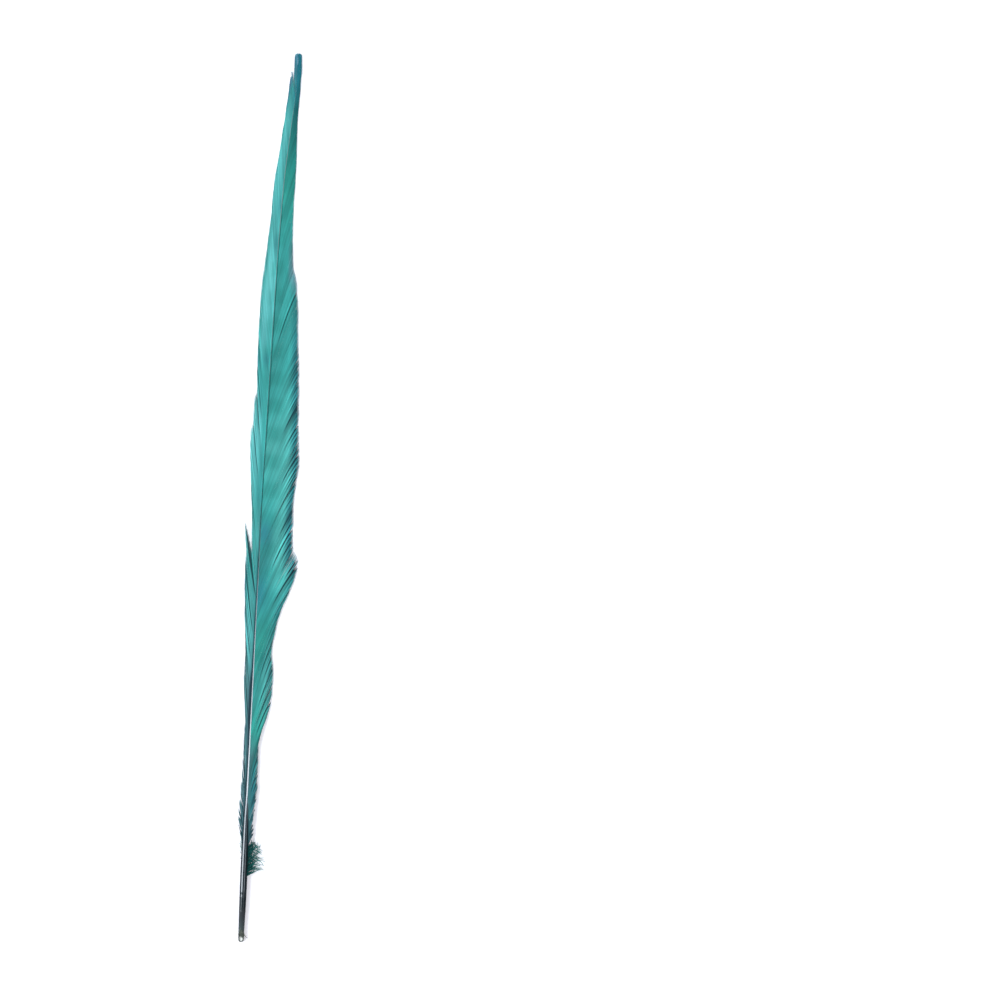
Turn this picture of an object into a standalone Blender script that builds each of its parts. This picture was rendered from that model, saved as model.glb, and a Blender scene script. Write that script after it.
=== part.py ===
"""A dyed pheasant tail feather lying on its underside, its quill towards -Y and its tip towards +Y.

A feather grows as one piece, so it is one solid: the quill and shaft, a vane on each side in locks of
barbs that part towards the edge, and the curled tufts of down at the foot of the vanes."""

import math
import random

import bmesh
import bpy

MM = 0.001  # the sizes below are in millimetres, and Blender's unit is the metre
LEFT, RIGHT = -1, 1

# The whole feather
LENGTH = 512.5  # from the cut end of the quill to the tip
SHEET = 0.5  # thickness of a vane
CROWN = 0.3  # how far the middle of a lock stands above its sides
SEED = 7

# Curves along the feather, as (distance from the cut end, value)
BOW = [(0, 0), (60, -1.3), (120, -2.4), (205, -3.6), (255, -4.1), (390, -4.1), (433, -3.4), (470, -1.2),
       (493, 0.3), (512.5, 0)]
LIFT = [(0, 0), (46, 0), (110, 0.7), (200, 2.0), (290, 2.9), (370, 2.6), (440, 1.5), (500, 0.5),
        (512.5, 0.35)]
SHAFT_WIDTH = [(0, 2.9), (8, 3.1), (42, 3.8), (61, 3.3), (84, 2.6), (110, 2.2), (165, 1.8), (250, 1.4),
               (370, 1.05), (512.5, 0.8)]
LEFT_REACH = [(58, 1.8), (80, 3.9), (106, 2.8), (150, 4.9), (205, 7.0), (229, 7.2), (240, 9.1), (244, 5.4),
              (270, 7.4), (297, 8.6), (322, 6.9), (350, 7.9), (378, 6.9), (392, 7.3), (425, 5.7),
              (450, 4.9), (490, 4.1), (503, 3.5), (505, 2.2)]
RIGHT_REACH = [(58, 3.8), (84, 4.7), (112, 4.6), (139, 11.0), (158, 11.8), (168, 10.2), (184, 12.6),
               (221, 23.0), (227, 19.6), (256, 18.5), (277, 20.2), (300, 18.0), (325, 17.0),
               (345, 15.2), (378, 12.3), (392, 8.9), (423, 6.9), (470, 3.3), (485, 2.3), (505, 2.2)]
# How far towards the tip a barb runs before it meets the edge, by where it leaves the shaft
LEFT_ADVANCE = [(50, 10), (80, 30), (120, 44), (200, 47), (300, 48), (400, 40), (450, 28), (486, 17),
                (499, 11.3)]
RIGHT_ADVANCE = [(50, 10), (80, 26), (110, 36), (150, 46), (260, 50), (330, 46), (400, 36), (450, 24),
                 (486, 15), (499, 11.3)]
# How far the edge stands above the surface that the feather lies on
LEFT_EDGE = [(58, 1.2), (120, 0.8), (170, 0), (235, 0), (300, 0.8), (380, 0.4), (420, 0), (470, 0),
             (512.5, 0.35)]
RIGHT_EDGE = [(58, 1.0), (120, 0.5), (150, 0), (460, 0), (512.5, 0.35)]
# How ragged the edge is: the share of a barb's length by which locks part and step back
RAGGED = [(58, 0.22), (150, 0.20), (240, 0.15), (330, 0.11), (390, 0.05), (512.5, 0.03)]

# The shaft
SHAFT_SIDES = 12
QUILL_DEPTH_SHARE = 1.0  # depth of the quill over its width
RACHIS_DEPTH_SHARE = 1.25  # the shaft between the vanes is deeper than wide
GROOVE_SHARE = 0.22  # of the shaft's depth, along the underside between the vanes
BORE_WIDTH = 1.5  # the hollow of the cut end
BORE_DEPTH = 5.0
CUT_SLANT = 0.8  # how far the cut end leans across its width
QUILL_END = 46.0  # where the round quill starts to turn into the deeper shaft
VANE_FOOT = 70.0  # where that turn is done
SHAFT_RINGS = 34
SHAFT_TIP_GAP = 1.2  # the shaft stops this far short of the tip

# The locks
FIRST_ROOT, LAST_ROOT = 50.0, 499.0
LOCKS = 32  # on each side
LOCK_WIDTH = (LAST_ROOT - FIRST_ROOT) / LOCKS
ROOT_JITTER = 0.18  # of a lock's width
ROWS = 7  # of faces along a lock
FLARE = 0.25  # how much a barb turns outwards on its way
ROOT_HEIGHT = 0.35  # where the barbs leave the shaft, as a share of half its depth above its axis
TIP_PLACE = 0.72  # of a lock's width, where its longest barb is
FIRST_FALL = 0.35  # how steeply a barb starts down from the shaft to the edge: 1 is a straight line
CROWN_REACH = 0.85  # of a lock's length, past which its crown no longer flattens
SPLIT_DEPTHS = (1.2, 2.6)  # how deep locks part, in units of how ragged the edge is there
SPLIT_GAPS = (0.6, 1.2)  # how wide, in units of the gap there
STEP_BACKS = (0.35, 0.9)  # how far the barbs along a split fall short, in the units of SPLIT_DEPTHS
GAP = {LEFT: 1.1, RIGHT: 0.8}  # half the gap of the most ragged locks, measured along the feather
# For each side, where the barb along a deep split leaves the shaft, and the share of it that holds together
DEEP_SPLITS = {
    LEFT: [(196, 0.4), (372, 0.5), (395, 0.6), (486, 0.6)],
    RIGHT: [(106, 0.4), (172, 0.55), (192, 0.4), (262, 0.6), (328, 0.3), (350, 0.5)],
}
DEEP_GAP = {LEFT: 1.5, RIGHT: 1.2}
TIP_LINES = 5  # from the last lock on one side, round the blunt tip, to the last lock on the other
TIP_ROUND = 2.6  # how far the blunt tip reaches past the ends of the last locks
TIP_HALF_WIDTH = 2.2

# The down, all on the right: (where it leaves the shaft, degrees from the shaft, length, curl in degrees)
DOWN = [
    (38.5, 54, 11.5, -14), (41.0, 34, 14.0, 32), (44.0, 46, 12.5, -26), (47.0, 28, 13.0, 40),
    (50.0, 42, 10.5, -20), (53.5, 26, 10.0, 44),
]
DOWN_WIDTH, DOWN_TIP_WIDTH, DOWN_THICKNESS = 2.8, 0.8, 0.6
DOWN_STEPS = 6
DOWN_FLOOR = 0.35  # the lowest that a tuft's middle comes
DOWN_LAYER = 0.12  # how much higher each of three tufts in turn ends
DOWN_DROP = 1.5  # how fast a tuft comes down from the shaft: 1 is a straight line

QUILL_COLOUR = (0.020, 0.019, 0.024, 1)
VANE_COLOUR = (0.045, 0.32, 0.27, 1)
DOWN_COLOUR = (0.008, 0.10, 0.085, 1)


def curve_at(points, place):
    """Value at place of a smooth curve through (place, value) points that never overshoots them."""
    if place <= points[0][0]:
        return points[0][1]
    if place >= points[-1][0]:
        return points[-1][1]
    i = max(n for n, (start, _) in enumerate(points) if start <= place)
    (x0, y0), (x1, y1) = points[i], points[i + 1]
    slope = (y1 - y0) / (x1 - x0)

    def tangent(n):
        if n in (0, len(points) - 1):
            return 0.0
        before = (points[n][1] - points[n - 1][1]) / (points[n][0] - points[n - 1][0])
        after = (points[n + 1][1] - points[n][1]) / (points[n + 1][0] - points[n][0])
        return 0.0 if before * after <= 0 else 2 * before * after / (before + after)

    t = (place - x0) / (x1 - x0)
    start = tangent(i) if i else slope
    end = tangent(i + 1) if i + 2 < len(points) else slope
    bend = (1 - t) * (start - slope) - t * (end - slope)
    return y0 + (y1 - y0) * t + (x1 - x0) * t * (1 - t) * bend


def depth_at(place):
    """Depth of the shaft: round in the quill, deeper than wide between the vanes."""
    turn = min(1, max(0, (place - QUILL_END) / (VANE_FOOT - QUILL_END)))
    share = QUILL_DEPTH_SHARE + (RACHIS_DEPTH_SHARE - QUILL_DEPTH_SHARE) * turn
    return curve_at(SHAFT_WIDTH, place) * share


def axis_height(place):
    """Height of the shaft's axis above the surface."""
    return curve_at(LIFT, place) + depth_at(place) / 2


def root_height(place):
    """Height of the vanes' underside where they leave the shaft."""
    return axis_height(place) + ROOT_HEIGHT * depth_at(place) / 2 - SHEET / 2


def material(name, colour, roughness):
    """A Principled material with this colour and roughness."""
    made = bpy.data.materials.new(name)
    made.use_nodes = True
    shader = made.node_tree.nodes["Principled BSDF"]
    shader.inputs["Base Color"].default_value = colour
    shader.inputs["Roughness"].default_value = roughness
    made.diffuse_color = colour
    return made


def new_object(name, bm, look):
    """An object of this name that holds the mesh, in metres, with its faces turned outwards."""
    bmesh.ops.recalc_face_normals(bm, faces=bm.faces)
    bmesh.ops.scale(bm, vec=(MM, MM, MM), verts=bm.verts)
    mesh = bpy.data.meshes.new(name)
    bm.to_mesh(mesh)
    bm.free()
    mesh.materials.append(look)
    made = bpy.data.objects.new(name, mesh)
    bpy.context.scene.collection.objects.link(made)
    return made


def shaft_ring(bm, place, width, depth, slant=0.0, groove=0.0):
    """A ring of vertices round the shaft's axis, with a flat side down and a groove along the underside."""
    ring = []
    flat = math.cos(math.pi / SHAFT_SIDES)
    for n in range(SHAFT_SIDES):
        turn = 2 * math.pi * (n + 0.5) / SHAFT_SIDES
        across, up = math.cos(turn), math.sin(turn)
        dent = groove * depth if up <= -flat else 0
        ring.append(bm.verts.new((
            curve_at(BOW, place) + across * width / 2,
            place + slant * across,
            axis_height(place) + up * depth / 2 / flat + dent,
        )))
    return ring


def join_rings(bm, rings):
    """The faces between each ring and the next."""
    for one, other in zip(rings, rings[1:]):
        for n in range(SHAFT_SIDES):
            m = (n + 1) % SHAFT_SIDES
            bm.faces.new((one[n], one[m], other[m], other[n]))


def make_shaft(look):
    """The quill and shaft: a tapered tube with a hollow in its cut end, closed at the tip."""
    bm = bmesh.new()
    rings = [
        shaft_ring(bm, BORE_DEPTH, BORE_WIDTH, BORE_WIDTH),
        shaft_ring(bm, 0.0, BORE_WIDTH, BORE_WIDTH, CUT_SLANT),
    ]
    end = LENGTH - SHAFT_TIP_GAP
    for n in range(SHAFT_RINGS):
        place = end * (n / (SHAFT_RINGS - 1))
        width, depth = curve_at(SHAFT_WIDTH, place), depth_at(place)
        groove = GROOVE_SHARE if place > VANE_FOOT else 0.0
        rings.append(shaft_ring(bm, place, width, depth, CUT_SLANT if n == 0 else 0.0, groove))
    join_rings(bm, rings)
    bm.faces.new(rings[0])
    bm.faces.new(rings[-1])
    return new_object("feather", bm, look)


class Side:
    """One side of the feather: its outline, where its barbs run and how its locks part."""

    def __init__(self, side, roots, rng):
        self.side = side
        self.reach = LEFT_REACH if side == LEFT else RIGHT_REACH
        self.advance = LEFT_ADVANCE if side == LEFT else RIGHT_ADVANCE
        self.edge = LEFT_EDGE if side == LEFT else RIGHT_EDGE
        self.roots = roots
        self.splits = [self.split_at(root, rng) for root in roots]

    def split_at(self, root, rng):
        """(share that holds together, gap at the edge) of the boundary that leaves the shaft at root."""
        for place, share in DEEP_SPLITS[self.side]:
            if abs(place - root) < LOCK_WIDTH / 2:
                return share, DEEP_GAP[self.side]
        ragged = curve_at(RAGGED, root + curve_at(self.advance, root))
        gap = GAP[self.side] * ragged / RAGGED[0][1]
        return 1 - ragged * rng.uniform(*SPLIT_DEPTHS), gap * rng.uniform(*SPLIT_GAPS)

    def point(self, root, share, length=1.0, shift=0.0):
        """The point on the vane's underside this share of the way along a barb that is cut to length."""
        r = share * length
        run = curve_at(self.advance, root)
        out = curve_at(self.reach, root + run) * r
        place = root + run * ((1 + FLARE) * r - FLARE * r * r) + shift
        place = min(place, LENGTH)
        fall = FIRST_FALL * share + (1 - FIRST_FALL) * share * share
        height = root_height(place) * (1 - fall) + curve_at(self.edge, place) * fall
        return curve_at(BOW, place) + self.side * out, place, height

    def end_length(self, root, rng):
        """The share of its full length that the barb along a boundary reaches."""
        ragged = curve_at(RAGGED, root + curve_at(self.advance, root))
        return 1 - ragged * rng.uniform(*STEP_BACKS)


def pair(bm, point, crown=0.0):
    """The vertices on the underside and on the upper side of the vane at this point."""
    x, y, z = point
    return bm.verts.new((x, y, z)), bm.verts.new((x, y, z + SHEET + crown))


def boundary(bm, side, n, root_pair, rng):
    """The vertex pairs along a boundary, once for the lock before it and once for the lock after it."""
    root = side.roots[n]
    holds, gap = side.splits[n]
    length = side.end_length(root, rng)
    before, after = [root_pair], [root_pair]
    for k in range(1, ROWS + 1):
        share = k / ROWS
        if share <= holds or n in (0, len(side.roots) - 1):
            both = pair(bm, side.point(root, share, length))
            before.append(both)
            after.append(both)
            continue
        shift = gap * (share - holds) / (1 - holds)
        before.append(pair(bm, side.point(root, share, length, -shift)))
        after.append(pair(bm, side.point(root, share, length, shift)))
    return before, after


def ridge(bm, side, n, root_pair, rng):
    """The vertex pairs along the crowned middle of a lock, out to the tip of its longest barb."""
    start, end = side.roots[n], side.roots[n + 1]
    line = [root_pair]
    for k in range(1, ROWS + 1):
        share = k / ROWS
        place = 0.5 + (TIP_PLACE - 0.5) * share
        crown = CROWN * math.sin(math.pi * min(share, CROWN_REACH))
        line.append(pair(bm, side.point(start + (end - start) * place, share), crown))
    return line


def skin(bm, line, other):
    """The upper and lower faces between two lines of vertex pairs, which may start from one shared pair."""
    for k in range(len(line) - 1):
        for level in (0, 1):
            corners = [line[k][level], line[k + 1][level], other[k + 1][level], other[k][level]]
            bm.faces.new(list(dict.fromkeys(corners)))


def wall(bm, line):
    """The upright faces along a line of vertex pairs."""
    for (low, high), (next_low, next_high) in zip(line, line[1:]):
        bm.faces.new((low, next_low, next_high, high))


def tip_line(bm, n, root_pair):
    """The vertex pairs from the last root to the rounded end of the tip, along line n of TIP_LINES."""
    turn = math.pi * n / (TIP_LINES + 1)
    shoulder = LENGTH - TIP_ROUND
    across = -TIP_HALF_WIDTH * math.cos(turn)
    end = shoulder + TIP_ROUND * math.sin(turn)
    line = [root_pair]
    for k in range(1, ROWS + 1):
        share = k / ROWS
        place = LAST_ROOT + (end - LAST_ROOT) * share
        line.append(pair(bm, (curve_at(BOW, place) + across * share, place, root_height(place))))
    return line


def make_vanes(look, rng):
    """Both vanes as one closed sheet, whose halves share their roots along the shaft's axis."""
    roots = [FIRST_ROOT + LOCK_WIDTH * n for n in range(LOCKS + 1)]
    roots[1:-1] = [root + LOCK_WIDTH * rng.uniform(-ROOT_JITTER, ROOT_JITTER) for root in roots[1:-1]]
    bm = bmesh.new()
    on_axis = [pair(bm, (curve_at(BOW, root), root, root_height(root))) for root in roots]
    middles = [(a + b) / 2 for a, b in zip(roots, roots[1:])]
    mid_axis = [pair(bm, (curve_at(BOW, place), place, root_height(place))) for place in middles]
    ends = []
    for side in (Side(LEFT, roots, rng), Side(RIGHT, roots, rng)):
        lines = [boundary(bm, side, n, on_axis[n], rng) for n in range(LOCKS + 1)]
        for n in range(LOCKS):
            near, far = lines[n][1], lines[n + 1][0]
            middle = ridge(bm, side, n, mid_axis[n], rng)
            skin(bm, near, middle)
            skin(bm, middle, far)
            wall(bm, [near[-1], middle[-1], far[-1]])
        for before, after in lines[1:-1]:
            parted = [k for k in range(ROWS + 1) if before[k] is not after[k]]
            if parted:
                wall(bm, before[parted[0] - 1:])
                wall(bm, after[parted[0] - 1:])
        wall(bm, lines[0][0])
        ends.append(lines[-1][0])
    tip = [ends[0]] + [tip_line(bm, n, on_axis[-1]) for n in range(1, TIP_LINES + 1)] + [ends[1]]
    for line, other in zip(tip, tip[1:]):
        skin(bm, line, other)
    wall(bm, [line[-1] for line in tip])
    return new_object("vanes", bm, look)


def make_down(look, number, root, angle, length, curl):
    """A tuft of down: a narrow leaf that leaves the shaft, curls and comes down to the surface."""
    bm = bmesh.new()
    x, y = curve_at(BOW, root), root
    step = length / DOWN_STEPS
    sections = []
    for n in range(DOWN_STEPS + 1):
        share = n / DOWN_STEPS
        heading = math.radians(angle + curl * share)
        width = DOWN_WIDTH + (DOWN_TIP_WIDTH - DOWN_WIDTH) * share
        layer = DOWN_FLOOR + DOWN_LAYER * (number % 3)
        height = axis_height(root) * (1 - share) ** DOWN_DROP + layer
        across = (math.cos(heading), -math.sin(heading))
        corners = []
        for over, up in ((-1, -1), (1, -1), (1, 1), (-1, 1)):
            corners.append(bm.verts.new((
                x + across[0] * over * width / 2,
                y + across[1] * over * width / 2,
                height + up * DOWN_THICKNESS / 2,
            )))
        sections.append(corners)
        x += math.sin(heading) * step
        y += math.cos(heading) * step
    for one, other in zip(sections, sections[1:]):
        for n in range(4):
            m = (n + 1) % 4
            bm.faces.new((one[n], one[m], other[m], other[n]))
    bm.faces.new(sections[0])
    bm.faces.new(sections[-1])
    return new_object(f"down_{number}", bm, look)


def fuse(target, helper):
    """Joins the helper's solid to the target's, and leaves the helper out of the render."""
    union = target.modifiers.new("with_" + helper.name, "BOOLEAN")
    union.operation = "UNION"
    union.object = helper
    union.material_mode = "TRANSFER"
    helper.hide_render = True
    helper.display_type = "WIRE"


def centre_on_base(target):
    """Moves the feather so that the middle of its box's underside is the origin."""
    bpy.context.view_layer.update()
    evaluated = target.evaluated_get(bpy.context.evaluated_depsgraph_get())
    places = [tuple(vertex.co) for vertex in evaluated.to_mesh().vertices]
    evaluated.to_mesh_clear()
    low = [min(place[n] for place in places) for n in range(3)]
    high = [max(place[n] for place in places) for n in range(3)]
    target.location = (-(low[0] + high[0]) / 2, -(low[1] + high[1]) / 2, -low[2])


def main():
    """Builds the feather on an empty scene."""
    for old in list(bpy.data.objects):
        bpy.data.objects.remove(old)
    rng = random.Random(SEED)
    quill_look = material("quill", QUILL_COLOUR, 0.3)
    vane_look = material("vane", VANE_COLOUR, 0.55)
    down_look = material("down", DOWN_COLOUR, 0.8)
    feather = make_shaft(quill_look)
    helpers = [make_vanes(vane_look, rng)]
    helpers += [make_down(down_look, number, *tuft) for number, tuft in enumerate(DOWN)]
    for helper in helpers:
        fuse(feather, helper)
        helper.parent = feather
    centre_on_base(feather)


main()
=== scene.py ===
"""A dyed pheasant tail feather, dressed for its picture.

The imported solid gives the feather's place and size. Here every barb of its two vanes is a closed ribbon of
its own, drawn together into wisps and locks that part towards the edge. The quill and shaft are one glossy
tapered tube with a hollow, frayed cut end, and the down at the foot of the vanes is curled strands with
barbules. Sizes are in millimetres in the feather's own directions: across (+ to its right), along (from the
cut end of the quill to the tip) and up from the surface that it lies on.
"""

import logging
import math
from collections.abc import Callable, Sequence
from dataclasses import dataclass, field
from enum import Enum
from functools import partial

import bpy
import numpy as np
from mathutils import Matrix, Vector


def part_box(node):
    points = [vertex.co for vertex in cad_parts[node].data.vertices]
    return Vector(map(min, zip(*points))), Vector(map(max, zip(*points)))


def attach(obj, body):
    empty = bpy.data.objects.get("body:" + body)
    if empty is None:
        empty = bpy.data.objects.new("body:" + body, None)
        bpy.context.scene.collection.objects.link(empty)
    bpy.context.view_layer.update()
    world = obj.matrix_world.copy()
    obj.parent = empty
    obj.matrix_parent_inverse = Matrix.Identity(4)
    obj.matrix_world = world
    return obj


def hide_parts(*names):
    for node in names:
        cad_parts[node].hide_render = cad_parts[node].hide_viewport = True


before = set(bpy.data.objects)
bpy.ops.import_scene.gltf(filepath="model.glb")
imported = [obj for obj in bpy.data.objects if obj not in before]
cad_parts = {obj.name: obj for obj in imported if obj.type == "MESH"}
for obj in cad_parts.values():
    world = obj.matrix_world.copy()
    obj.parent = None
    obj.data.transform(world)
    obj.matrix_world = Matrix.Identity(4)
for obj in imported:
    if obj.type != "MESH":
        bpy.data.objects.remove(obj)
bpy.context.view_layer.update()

MM = 0.001  # Blender's unit is the metre
NODE, BODY = "feather", "root"
BAKE_MAP = "OFBake"
LENGTH = 512.5  # from the cut end of the quill to the tip
LOG = logging.getLogger("feather")

Array = np.ndarray
Socket = bpy.types.NodeSocket
Points = tuple[tuple[float, float], ...]
Triples = tuple[tuple[float, float, float], ...]
Tones = tuple[tuple[float, str], ...]


class Hand(Enum):
    """The side of the shaft that something grows on."""

    LEFT = -1
    RIGHT = 1


class Slot(Enum):
    """The record's material slots."""

    VANE = "vane"
    QUILL = "quill"
    DOWN = "down"


class Dye(str, Enum):
    """The tones that the dye gave, and a tone of painted shade, as sRGB."""

    TEAL = "#40A9A0"
    DULL_TEAL = "#36918C"
    LIGHT_TEAL = "#4DA9A2"
    FRESH_TEAL = "#53B3A9"
    AQUA = "#5DB6B1"
    PALE_AQUA = "#70CAC4"
    SEA_GREEN = "#32A393"
    DEEP_TEAL = "#1A7474"
    TIP_BLUE = "#228492"
    STEEL = "#4C8295"
    PETROL = "#2A7E81"
    SLATE = "#43686E"
    GREY_TEAL = "#4E8785"
    # grey blue; on the broad vane's edge it is painted shade showing through the thin fringe
    MIST = "#6FA0A6"
    # painted shade, laid into the creases where barbs part and beside the shaft
    PAINTED_SHADE_TONE = "#03303B"


@dataclass(frozen=True)
class Curve:
    """A smooth curve through (place, value) points that never overshoots them."""

    points: Points

    def at(self, place: Array | float) -> Array:
        """The curve's values.

        Args:
            place: Where to read the curve.

        Returns:
            The value at each place, held at the end values outside the points.
        """
        x, y = np.array(self.points, float).T
        place = np.clip(place, x[0], x[-1])
        i = np.clip(np.searchsorted(x, place, side="right") - 1, 0, len(x) - 2)
        slope = np.diff(y) / np.diff(x)
        product, total = slope[:-1] * slope[1:], slope[:-1] + slope[1:]
        inner = np.where(product > 0, 2 * product / np.where(total == 0, 1, total), 0)
        tangent = np.concatenate(([slope[0]], inner, [slope[-1]]))
        t = (place - x[i]) / (x[i + 1] - x[i])
        bend = (1 - t) * (tangent[i] - slope[i]) - t * (tangent[i + 1] - slope[i])
        return y[i] + (y[i + 1] - y[i]) * t + (x[i + 1] - x[i]) * t * (1 - t) * bend


def smooth_step(low: float, high: float, value: Array) -> Array:
    """A smooth rise from 0 at low to 1 at high, or a fall where high is less than low."""
    t = np.clip((value - low) / (high - low), 0, 1)
    return t * t * (3 - 2 * t)


def drift(rng: np.random.Generator, along: Array, across: Array, cells: tuple[float, float]) -> Array:
    """Smooth seeded noise over rows of places.

    Args:
        rng: Where the noise comes from.
        along: One place for each row.
        across: Places within the rows.
        cells: The size of the noise's cells along and across.

    Returns:
        Values between -1 and 1, one for each row and place.
    """
    a = (along - along.min())[:, None] / cells[0] + np.zeros_like(across)
    b = (across - across.min()) / cells[1]
    grid = rng.uniform(-1, 1, (int(a.max()) + 2, int(b.max()) + 2))
    i, j = a.astype(int), b.astype(int)
    s, t = smooth_step(0, 1, a - i), smooth_step(0, 1, b - j)
    near = grid[i, j] * (1 - s) + grid[i + 1, j] * s
    far = grid[i, j + 1] * (1 - s) + grid[i + 1, j + 1] * s
    return near * (1 - t) + far * t


def unit(vectors: Array) -> Array:
    """The vectors at length 1."""
    return vectors / np.linalg.norm(vectors, axis=-1, keepdims=True)


def upright(path: Array) -> Array:
    """The upward direction for every ring of the paths."""
    return np.zeros_like(path) + np.array([0.0, 0.0, 1.0])


def column(rng: np.random.Generator, count: int) -> Callable[[float, float], Array]:
    """A function that draws one number between two limits for each of some threads."""
    return lambda low, high: rng.uniform(low, high, (count, 1))


@dataclass(frozen=True)
class FeatherPlan:
    """Where the feather lies in the frame, and the curves along it that all its pieces share."""

    quill_x: float
    quill_y: float
    bow: Curve = Curve(((0, 0), (60, -1.3), (120, -2.2), (205, -3.3), (255, -3.9), (390, -4.1), (433, -3.4),
                        (470, -1.2), (493, 0.3), (512.5, 0)))
    lift: Curve = Curve(((0, 0), (46, 0), (110, 0.7), (200, 2.0), (290, 2.9), (370, 2.6), (440, 1.5),
                         (500, 0.5), (512.5, 0.35)))
    shaft_width: Curve = Curve(((0, 3.0), (8, 3.35), (25, 3.85), (42, 4.0), (61, 3.4), (84, 2.7), (110, 2.3),
                                (165, 1.9), (250, 1.2), (370, 0.85), (440, 0.65), (512.5, 0.4)))
    quill_end: float = 46.0  # where the round quill starts to turn into the deeper shaft
    vane_foot: float = 70.0  # where that turn is done
    rachis_depth: float = 1.25  # of the shaft's width, between the vanes
    shaft_offset: Curve = Curve(((0, 0), (30, 0.2), (70, 0.15), (88, 0.45), (150, 0.42), (230, 0.35),
                                 (420, 0.35), (470, 0.25), (512.5, 0)))

    @classmethod
    def from_frame(cls) -> "FeatherPlan":
        """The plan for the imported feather, whose cut end is found from the solid's vertices nearest to it."""
        end_zone, cut_slant = 1.2, 0.8  # how near they are, and how far in the middle of the cut lies
        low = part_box(NODE)[0].y / MM
        places = np.array([vertex.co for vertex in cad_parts[NODE].data.vertices]) / MM
        across = places[places[:, 1] < low + end_zone, 0]
        return cls((across.min() + across.max()) / 2, low + cut_slant)

    def depth(self, along: Array) -> Array:
        """The shaft's depth: round in the quill, deeper than wide between the vanes."""
        turn = np.clip((along - self.quill_end) / (self.vane_foot - self.quill_end), 0, 1)
        return self.shaft_width.at(along) * (1 + (self.rachis_depth - 1) * turn)

    def axis(self, along: Array) -> Array:
        """The height of the shaft's axis."""
        return self.lift.at(along) + self.depth(along) / 2

    def middle(self, along: Array | float) -> Array:
        """The shaft's middle across the feather, a little beside the line that the vanes follow."""
        return self.bow.at(along) + self.shaft_offset.at(along)

    def world(self, places: Array) -> Array:
        """Places in the frame, in metres, for (across, along, up) in millimetres."""
        return (places + np.array([self.quill_x, self.quill_y, 0.0])) * MM


@dataclass
class Threads:
    """Many thin closed ribbons with a diamond section, laid out as one mesh.

    Every array has one row for each thread and one column for each ring along it.
    """

    path: Array  # the rings' middles, in millimetres
    width: Array  # of the ribbon
    rise: Array  # of its ridges above and below the middle
    up: Array  # the way that its flat side faces
    values: dict[str, Array] = field(default_factory=dict)  # what the material reads at each ring

    def corners(self) -> Array:
        """The four corners of every ring, counter-clockwise as seen from the thread's tip."""
        along = unit(np.gradient(self.path, axis=1))
        side = unit(np.cross(self.up, along))
        normal = np.cross(along, side)
        half, rise = self.width[..., None] / 2, self.rise[..., None]
        ways = (side * half, normal * rise, -side * half, -normal * rise)
        return np.stack([self.path + way for way in ways], axis=2).reshape(-1, 3)

    def faces(self) -> Array:
        """The four-cornered faces round every thread and at its two ends."""
        ring = np.arange(self.width.size * 4).reshape(*self.width.shape, 4)
        near, far = ring[:, :-1], ring[:, 1:]
        walls = np.stack([near, np.roll(near, -1, 2), np.roll(far, -1, 2), far], axis=-1)
        ends = np.stack([ring[:, 0, ::-1], ring[:, -1]], axis=1)
        return np.concatenate([walls.reshape(-1, 4), ends.reshape(-1, 4)])

    def bake_map(self) -> Array:
        """A map with the threads row over row, in two columns for upper and two for lower faces."""
        count, rings = self.width.shape
        rows = (count + 1) // 2
        thread, ring, wall = np.ogrid[:count, :rings - 1, :4]
        thread, ring, wall = thread[..., None], ring[..., None], wall[..., None]
        step, turn = np.array([0, 0, 1, 1]), np.array([0, 1, 1, 0])
        column = thread // rows + 2 * (wall >= 2)
        u = (column + 0.02 + 0.96 * (ring + step) / (rings - 1)) / 4
        v = (thread % rows + 1 - np.abs(1 - (wall + turn) / 2)) / rows
        walls = np.stack(np.broadcast_arrays(u, v), axis=-1).reshape(-1, 2)
        ends = np.repeat(walls.reshape(count, -1, 2)[:, :1], 8, axis=1).reshape(-1, 2)
        return np.concatenate([walls, ends])


def make_piece(plan: FeatherPlan, name: str, places: Array, faces: Array, values: dict[str, Array],
               bake_map: Array | None = None) -> bpy.types.Object:
    """One smooth-shaded mesh in the scene.

    Args:
        plan: Gives the feather's place.
        name: The piece's name.
        places: Its vertices as (across, along, up), in millimetres.
        faces: The vertices of each face.
        values: Named numbers, one for each vertex, that the material reads.
        bake_map: A map place for each corner of each face, if the piece brings its own.

    Returns:
        The new object.
    """
    mesh = bpy.data.meshes.new(name)
    mesh.from_pydata(plan.world(places).tolist(), [], [list(map(int, face)) for face in faces])
    for key, numbers in values.items():
        mesh.attributes.new(key, "FLOAT", "POINT").data.foreach_set("value", numbers.astype(np.float32))
    if bake_map is not None:
        mesh.uv_layers.new(name=BAKE_MAP).data.foreach_set("uv", bake_map.astype(np.float32).reshape(-1))
    mesh.shade_smooth()
    piece = bpy.data.objects.new(name, mesh)
    bpy.context.scene.collection.objects.link(piece)
    return piece


def thread_piece(plan: FeatherPlan, name: str, bundles: Sequence[Threads]) -> bpy.types.Object:
    """One piece of several bundles of threads.

    Args:
        plan: Gives the feather's place.
        name: The piece's name.
        bundles: The threads. A single bundle brings its own bake map.

    Returns:
        The new object.
    """
    corners = [bundle.corners() for bundle in bundles]
    starts = np.cumsum([0] + [len(places) for places in corners[:-1]])
    faces = np.concatenate([bundle.faces() + start for bundle, start in zip(bundles, starts)])
    values = {key: np.repeat(np.concatenate([bundle.values[key].reshape(-1) for bundle in bundles]), 4)
              for key in bundles[0].values}
    bake_map = bundles[0].bake_map() if len(bundles) == 1 else None
    return make_piece(plan, name, np.concatenate(corners), faces, values, bake_map)


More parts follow.
